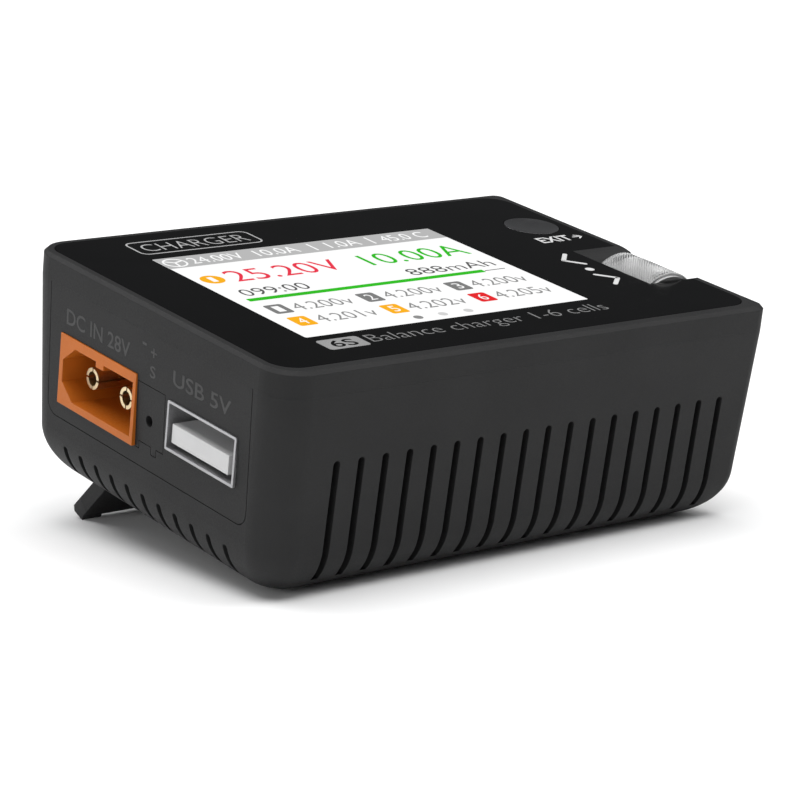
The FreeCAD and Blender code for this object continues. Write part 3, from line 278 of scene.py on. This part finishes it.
def make_materials():
    return {
        "case": moulded("case_plastic", (0.0165, 0.0165, 0.0168), 0.55, edge_mm=0.08, gloss=0.17),
        "gloss": moulded("panel_gloss", (0.0030, 0.0030, 0.0031), 0.14, grain_mm=2.5, bump=0.02,
                         edge_mm=0.05, gloss=0.03),
        "button": moulded("button_gloss", (0.022, 0.022, 0.023), 0.20, grain_mm=2.0, bump=0.04, gloss=0.9),
        "orange": moulded("port_orange", (0.44, 0.112, 0.009), 0.45, grain_mm=0.3, bump=0.15,
                          edge_mm=0.1, gloss=0.25),
        "white": moulded("port_white", (0.70, 0.68, 0.62), 0.42, grain_mm=0.3, bump=0.12, gloss=0.4),
        "tongue": moulded("port_grey", (0.55, 0.55, 0.55), 0.40, grain_mm=0.3, bump=0.10, gloss=0.4),
        "rubber": moulded("rubber", (0.032, 0.032, 0.033), 0.8, grain_mm=0.12, bump=0.5, gloss=0.3),
        "chip": moulded("chip", (0.018, 0.018, 0.019), 0.5, grain_mm=0.1, bump=0.3),
        "ferrite": moulded("ferrite", (0.07, 0.07, 0.075), 0.6, grain_mm=0.1, bump=0.5),
        "film": moulded("flex_film", (0.45, 0.19, 0.03), 0.35, grain_mm=0.8, bump=0.1),
        "silicone": moulded("pad_silicone", (0.30, 0.37, 0.45), 0.75, grain_mm=0.3, bump=0.3),
        "gilt": metal("gilt", (0.68, 0.56, 0.35), 0.30, (1, 4, 4)),
        "steel": metal("steel", (0.44, 0.44, 0.45), 0.46, (1, 5, 5)),
        "copper": metal("copper", (0.70, 0.30, 0.14), 0.35),
        "aluminium": metal("heatsink_metal", (0.72, 0.73, 0.74), 0.38, (1, 6, 1)),
        "roller": metal("roller_metal", (0.33, 0.33, 0.33), 0.40, (1, 1, 1), 0.12, 0.3),
        "board": board_material("board"),
        "screen": lit("screen", (1.0, 1.0, 1.0), 0.985),
        "ink": moulded("legend_white", (0.50, 0.50, 0.50), 0.6, gloss=0.1),
        "name_ink": moulded("legend_light_grey", (0.33, 0.33, 0.33), 0.6, gloss=0.1),
        "badge_ink": moulded("legend_grey", (0.215, 0.215, 0.215), 0.6, gloss=0.1),
        "line_ink": moulded("legend_line_grey", (0.16, 0.16, 0.16), 0.6, gloss=0.1),
        # The input end's letters are a lighter grey as a painted highlight, standing in for the lit edges of
        # engraved letters.
        "end_letters_painted_highlight": moulded("legend_end_painted_highlight", (0.055, 0.055, 0.055), 0.6, gloss=0.2),
    }


NODE_MATERIALS = {
    "case": ("lower_shell", "top_cover", "left_end_panel", "right_end_panel", "signal_port", "stand"),
    "gloss": ("front_panel",),
    "button": ("exit_button",),
    "screen": ("display_screen",),
    "orange": ("inlet_housing", "outlet_housing"),
    "white": ("balance_socket", "lcd_module"),
    "tongue": ("usb_tongue",),
    "rubber": ("rubber_feet", "stand_pads"),
    "chip": ("exit_switch", "roller_carrier", "roller_encoder", "press_switch", "board_header",
             "controller_chips", "buzzer", "mosfets", "fan_frame", "fan_rotor"),
    "ferrite": ("inductor_cores",),
    "film": ("display_flex",),
    "silicone": ("thermal_pad",),
    "gilt": ("inlet_pins", "outlet_sockets", "usb_contacts", "balance_pins"),
    "steel": ("backlight_tray", "usb_shell", "roller_axle", "board_screws", "ui_screws", "fan_screws",
              "stand_pins"),
    "copper": ("inductor_windings",),
    "aluminium": ("capacitors", "heatsink"),
    "roller": ("roller",),
    "board": ("main_board", "ui_board"),
}


def dress_nodes(materials):
    """Gives each CAD node its material."""
    for key, names in NODE_MATERIALS.items():
        for name in names:
            slots = NODES[name].data.materials
            slots.clear()
            slots.append(materials[key])


# ---------------------------------------------------------------- building pieces

def piece(name, mesh, material, body):
    """A new piece from a mesh in the case's millimetres."""
    mesh.transform(CASE)
    obj = bpy.data.objects.new(name, mesh)
    bpy.context.scene.collection.objects.link(obj)
    mesh.materials.append(material)
    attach(obj, body)
    return obj


def flat_plate(mesh, points, low, high):
    """Adds a polygon of (x, y) points to a bmesh as a thin closed plate."""
    bottom = [mesh.verts.new((x, y, low)) for x, y in points]
    top = [mesh.verts.new((x, y, high)) for x, y in points]
    count = len(points)
    mesh.faces.new(top)
    mesh.faces.new(bottom[::-1])
    for i in range(count):
        j = (i + 1) % count
        mesh.faces.new((bottom[i], bottom[j], top[j], top[i]))


def rounded_box(x, y, radius, steps=5):
    """The outline of a rounded rectangle, anticlockwise."""
    corners = ((x[1], y[0], -90), (x[1], y[1], 0), (x[0], y[1], 90), (x[0], y[0], 180))
    points = []
    for cx, cy, start in corners:
        inset_x = cx - radius if cx == x[1] else cx + radius
        inset_y = cy - radius if cy == y[1] else cy + radius
        for i in range(steps + 1):
            turn = math.radians(start + 90 * i / steps)
            points.append((inset_x + radius * math.cos(turn), inset_y + radius * math.sin(turn)))
    return points


def disc(cx, cy, radius, steps=28):
    """The outline of a circle."""
    turns = [2 * math.pi * i / steps for i in range(steps)]
    return [(cx + radius * math.cos(turn), cy + radius * math.sin(turn)) for turn in turns]


def stroke(start, end, width):
    """A line with round ends, as an outline."""
    start, end = Vector(start), Vector(end)
    turn = math.atan2(end.y - start.y, end.x - start.x)
    points = []
    for centre, first in ((end, turn - math.pi / 2), (start, turn + math.pi / 2)):
        for i in range(7):
            at = first + math.pi * i / 6
            points.append((centre.x + width / 2 * math.cos(at), centre.y + width / 2 * math.sin(at)))
    return points


WELD = 0.0002


def to_mesh(bm, name):
    """Closes the letters' seams, turns every face outward and ends the bmesh."""
    bmesh.ops.remove_doubles(bm, verts=bm.verts, dist=WELD)
    bmesh.ops.recalc_face_normals(bm, faces=bm.faces)
    mesh = bpy.data.meshes.new(name)
    bm.to_mesh(mesh)
    bm.free()
    return mesh


def plates(name, outlines, low, high):
    """Several outlines as one mesh of thin plates."""
    bm = bmesh.new()
    for points in outlines:
        flat_plate(bm, points, low, high)
    return to_mesh(bm, name)


def letters(text, weight):
    """The text as a mesh of its own size; weight thickens the strokes."""
    curve = bpy.data.curves.new("letters", "FONT")
    curve.body = text
    curve.resolution_u = 4
    curve.extrude = 0.25
    curve.offset = weight
    helper = bpy.data.objects.new("letters", curve)
    bpy.context.scene.collection.objects.link(helper)
    bpy.context.view_layer.update()
    mesh = bpy.data.meshes.new_from_object(helper.evaluated_get(bpy.context.evaluated_depsgraph_get()))
    bpy.data.objects.remove(helper)
    return mesh


def placed_letters(bm, text, x, y, low, high, weight=0.012):
    """Adds text to a bmesh, stretched to fill x (left, right), y (foot, top) and low to high."""
    mesh = letters(text, weight)
    spots = [v.co for v in mesh.vertices]
    least = Vector([min(p[i] for p in spots) for i in range(3)])
    most = Vector([max(p[i] for p in spots) for i in range(3)])
    size = most - least
    scale = Matrix.Diagonal(((x[1] - x[0]) / size.x, (y[1] - y[0]) / size.y, (high - low) / size.z, 1))
    mesh.transform(Matrix.Translation((x[0], y[0], low)) @ scale @ Matrix.Translation(-least))
    bm.from_mesh(mesh)
    bpy.data.meshes.remove(mesh)


# ---------------------------------------------------------------- screen picture

SCREEN_TOP = -0.036
LAYER = 0.012
HEADER_Y = (11.25, 15.15)
HEADER_GREY = (0.47, 0.47, 0.47)
BADGE_GREY = (0.20, 0.20, 0.20)
RED = (0.80, 0.035, 0.07)
GREEN = (0.03, 0.50, 0.015)
AMBER = (0.92, 0.43, 0.012)
SCREEN_WEIGHT = -0.004


def picture_group(name, colour, strength, outlines=(), texts=(), level=1):
    """One colour of the screen picture as one piece; level lifts it over what is under it."""
    low = SCREEN_TOP + LAYER * (level - 1)
    high = SCREEN_TOP + LAYER * level
    bm = bmesh.new()
    for points in outlines:
        flat_plate(bm, points, low, high)
    for text, x, y in texts:
        placed_letters(bm, text, x, y, low, high, SCREEN_WEIGHT)
    mesh = to_mesh(bm, name)
    return piece(name, mesh, lit(name, colour, strength), "casing")


BADGE_W, BADGE_H = 2.45, 3.1
BADGE_CORNER = 0.35
BADGE_X = (-23.25, -10.4, 2.5)
BADGE_FOOT = (-7.35, -11.9)
DOT_R = 0.6
DOTS_Y = -13.9
CELLS = (("4.200v", "4.200v", "4.200v"), ("4.201v", "4.202v", "4.205v"))


def cell_rows():
    """Each cell's number, its row and column."""
    return [(row * 3 + column + 1, row, column) for row in range(2) for column in range(3)]


def badge_outline(row, column):
    x, y = BADGE_X[column], BADGE_FOOT[row]
    return rounded_box((x, x + BADGE_W), (y, y + BADGE_H), BADGE_CORNER)


def make_picture():
    """The screen's readings, one piece for each colour."""
    picture_group("screen_header", HEADER_GREY, 1.0, [rounded_box((-25.2, 15.56), HEADER_Y, 0.05)])
    header = [("24.00V", (-21.3, -13.9)), ("10.0A", (-11.9, -5.9)),
              ("1.0A", (-1.4, 3.25)), ("45.0 C", (6.75, 13.5))]
    texts = [(text, x, (12.1, 14.3)) for text, x in header]
    bars = [rounded_box((x - 0.12, x + 0.12), (11.9, 14.5), 0.1) for x in (-3.6, 5.1)]
    icon_x, icon_y = -23.35, 13.15
    spokes = [stroke((icon_x, icon_y), (icon_x + 1.3 * math.cos(a), icon_y + 1.3 * math.sin(a)), 0.25)
              for a in (0.4, 2.5, 4.6)]
    picture_group("screen_header_text", (1.0, 1.0, 1.0), 0.97, bars + spokes, texts, 2)
    bm = bmesh.new()
    ring_outline(bm, disc(icon_x, icon_y, 1.55), disc(icon_x, icon_y, 1.3),
                 SCREEN_TOP + LAYER, SCREEN_TOP + 2 * LAYER)
    piece("screen_header_icon", to_mesh(bm, "screen_header_icon"), bpy.data.materials["screen_header_text"],
          "casing")
    picture_group("screen_volts", RED, 1.0, [], [("25.20V", (-20.4, -4.75), (4.4, 8.4))])
    picture_group("screen_amps", GREEN, 1.0, [rounded_box((-23.5, 10.75), (-2.4, -1.45), 0.1)],
                  [("10.00A", (-0.9, 14.1), (4.4, 8.4))])
    small = [("099:00", (-22.75, -13.5), (-0.6, 1.75)), ("888mAh", (1.25, 13.9), (-0.6, 1.75))]
    underline = rounded_box((10.9, 14.0), (-2.05, -1.85), 0.05)
    picture_group("screen_small_text", (0.10, 0.10, 0.10), 1.0, [underline], small)
    amber = [disc(-22.85, 6.15, 1.5), badge_outline(1, 0), badge_outline(1, 1)]
    picture_group("screen_amber", AMBER, 1.0, amber)
    picture_group("screen_red_badge", (0.78, 0.02, 0.025), 1.0, [badge_outline(1, 2)])
    picture_group("screen_grey_badges", BADGE_GREY, 1.0, [badge_outline(0, column) for column in range(3)])
    numbers = []
    values = []
    for number, row, column in cell_rows():
        x, y = BADGE_X[column], BADGE_FOOT[row]
        numbers.append((str(number), (x + 0.75, x + 1.7), (y + 0.6, y + 2.5)))
        values.append((CELLS[row][column], (x + 3.2, x + 11.3), (y + 0.35, y + 2.75)))
    numbers.append(("1", (-23.2, -22.5), (5.3, 7.0)))
    picture_group("screen_badge_numbers", (1.0, 1.0, 1.0), 0.97, [], numbers, 2)
    picture_group("screen_cell_volts", (0.26, 0.26, 0.26), 1.0, [disc(-8.5, DOTS_Y, DOT_R)], values)
    dots = [disc(x, DOTS_Y, DOT_R) for x in (-4.95, -1.25)]
    picture_group("screen_page_dots", (0.62, 0.62, 0.62), 1.0, dots)


# ---------------------------------------------------------------- legends on the panel

LEGEND_Z = (-0.01, 0.014)
THIN = -0.012
MARK_W = 0.6


def ring_outline(bm, outer, inner, low, high):
    """A closed band between two outlines with the same number of points."""
    loops = []
    for points, z in ((outer, low), (outer, high), (inner, high), (inner, low)):
        loops.append([bm.verts.new((x, y, z)) for x, y in points])
    count = len(outer)
    for a in range(4):
        for i in range(count):
            j = (i + 1) % count
            bm.faces.new((loops[a][i], loops[a][j], loops[(a + 1) % 4][j], loops[(a + 1) % 4][i]))


def make_legends(materials):
    """The white and grey print on the panel: name box, badge and line, EXIT and the roller's marks."""
    low, high = LEGEND_Z
    bm = bmesh.new()
    frame_outer = rounded_box((-25.2, -7.75), (16.9, 21.75), 1.1)
    frame_inner = rounded_box((-24.95, -8.0), (17.15, 21.5), 0.85)
    ring_outline(bm, frame_outer, frame_inner, low, high)
    placed_letters(bm, "CHARGER", (-23.9, -9.1), (18.0, 20.6), low, high, THIN)
    piece("legend_name", to_mesh(bm, "legend_name"), materials["name_ink"], "casing")

    bm = bmesh.new()
    flat_plate(bm, rounded_box((-25.2, -19.65), (-20.1, -16.9), 0.5), low, high)
    piece("legend_badge", to_mesh(bm, "legend_badge"), materials["badge_ink"], "casing")

    bm = bmesh.new()
    placed_letters(bm, "6S", (-24.1, -20.8), (-19.55, -17.45), high, high + 0.006)
    piece("legend_badge_text", to_mesh(bm, "legend_badge_text"), materials["gloss"], "casing")

    bm = bmesh.new()
    placed_letters(bm, "Balance charger 1-6 cells", (-18.9, 15.5), (-20.2, -17.1), low, high, THIN)
    piece("legend_line", to_mesh(bm, "legend_line"), materials["line_ink"], "casing")

    bm = bmesh.new()
    placed_letters(bm, "EXIT", (26.0, 31.0), (4.85, 6.95), low, high, 0.02)
    arrow_tip = (32.9, 5.85)
    for start in ((31.5, 5.85), (32.1, 6.5), (32.1, 5.2)):
        flat_plate(bm, stroke(start, arrow_tip, 0.25), low, high)
    piece("legend_exit", to_mesh(bm, "legend_exit"), materials["ink"], "casing")

    marks = [((25.25, 0.1), (23.25, -2.0)), ((23.25, -2.0), (25.0, -4.0)),
             ((23.15, -8.0), (25.0, -10.0)), ((25.0, -10.0), (23.0, -11.85))]
    outlines = [stroke(start, end, MARK_W) for start, end in marks] + [disc(24.0, -6.0, 0.6)]
    mesh = plates("legend_roller", outlines, low, high)
    piece("legend_roller", mesh, materials["ink"], "casing")


# ---------------------------------------------------------------- knurled roller

ROLLER_CENTRE = (30.75, -4.05)
ROLLER_R = 5.0
RING_R = 4.6
ROLLER_Y = (-13.2, -3.8)
KNURLS_ROUND = 76
KNURL_DEPTH = 0.17
BORE_R = 1.0


def knurl_height(u, v):
    """Height of a diamond knurl, 0 in the grooves and 1 on the points."""
    def ridge(a):
        return abs(2 * (a % 1.0) - 1)
    return 1 - max(ridge(u + v), ridge(u - v))


def make_roller(materials):
    """The wheel: a knurled barrel with turned ends and a narrow smooth step at the front."""
    barrel = (ROLLER_Y[0] + 0.4, ROLLER_Y[1] - 0.2)
    around = KNURLS_ROUND * 4
    pitch = 2 * math.pi * ROLLER_R / KNURLS_ROUND
    rows = 4 * round((barrel[1] - barrel[0]) / pitch)
    profile = [(ROLLER_Y[0], BORE_R, 0), (ROLLER_Y[0], RING_R - 0.1, 0), (ROLLER_Y[0] + 0.1, RING_R, 0),
               (ROLLER_Y[0] + 0.3, RING_R, 0), (ROLLER_Y[0] + 0.32, ROLLER_R - 0.25, 0)]
    for i in range(rows + 1):
        profile.append((barrel[0] + (barrel[1] - barrel[0]) * i / rows, ROLLER_R, 1 if 0 < i < rows else 0.4))
    profile += [(ROLLER_Y[1] - 0.05, ROLLER_R - 0.2, 0), (ROLLER_Y[1], ROLLER_R - 0.3, 0),
                (ROLLER_Y[1], BORE_R, 0)]
    cx, cz = ROLLER_CENTRE
    bm = bmesh.new()
    loops = []
    for y, radius, knurled in profile:
        loop = []
        for i in range(around):
            turn = 2 * math.pi * i / around
            reach = radius
            if knurled:
                v = (y - barrel[0]) / pitch
                reach -= KNURL_DEPTH * (1 - knurled * knurl_height(i / 4, v))
            loop.append(bm.verts.new((cx + reach * math.cos(turn), y, cz + reach * math.sin(turn))))
        loops.append(loop)
    loops.append(loops[0])
    for first, second in zip(loops, loops[1:]):
        for i in range(around):
            j = (i + 1) % around
            bm.faces.new((first[i], first[j], second[j], second[i]))
    wheel = piece("roller_wheel", to_mesh(bm, "roller_wheel"), materials["roller"], "roller")
    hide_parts("roller")


# ---------------------------------------------------------------- legends on the input end

WALL_X = 35.4
WALL_TOP = -3.0
WALL_DRAFT = math.tan(math.radians(2.0))


def make_end_legends(materials):
    """Text on the input end: (text, (near y, far y), (foot z, top z)); it follows the drafted wall. The
    letters are real, but their lighter grey is a painted highlight standing in for the lit edges of engraved
    letters.
    """
    entries = [("DC IN 28V", (16.8, 3.4), (-7.2, -5.3)), ("USB 5V", (-5.4, -16.6), (-7.5, -5.7)),
               ("-", (0.9, 0.1), (-4.65, -4.35)), ("+", (-0.8, -2.0), (-5.6, -4.5)),
               ("S", (-0.8, -1.9), (-8.0, -6.6))]
    bm = bmesh.new()
    for text, y, z in entries:
        flat = bmesh.new()
        placed_letters(flat, text, (-y[0], -y[1]), z, -0.03, 0.012, 0.01)
        for vertex in flat.verts:
            along, height, proud = vertex.co
            vertex.co = (-(WALL_X - (WALL_TOP - height) * WALL_DRAFT + proud), -along, height)
        mesh = bpy.data.meshes.new("flat")
        flat.to_mesh(mesh)
        flat.free()
        bm.from_mesh(mesh)
        bpy.data.meshes.remove(mesh)
    piece("legend_input_end", to_mesh(bm, "legend_input_end"), materials["end_letters_painted_highlight"], "casing")


make_camera()
make_studio()
all_materials = make_materials()
dress_nodes(all_materials)
make_picture()
make_legends(all_materials)
make_roller(all_materials)
make_end_legends(all_materials)
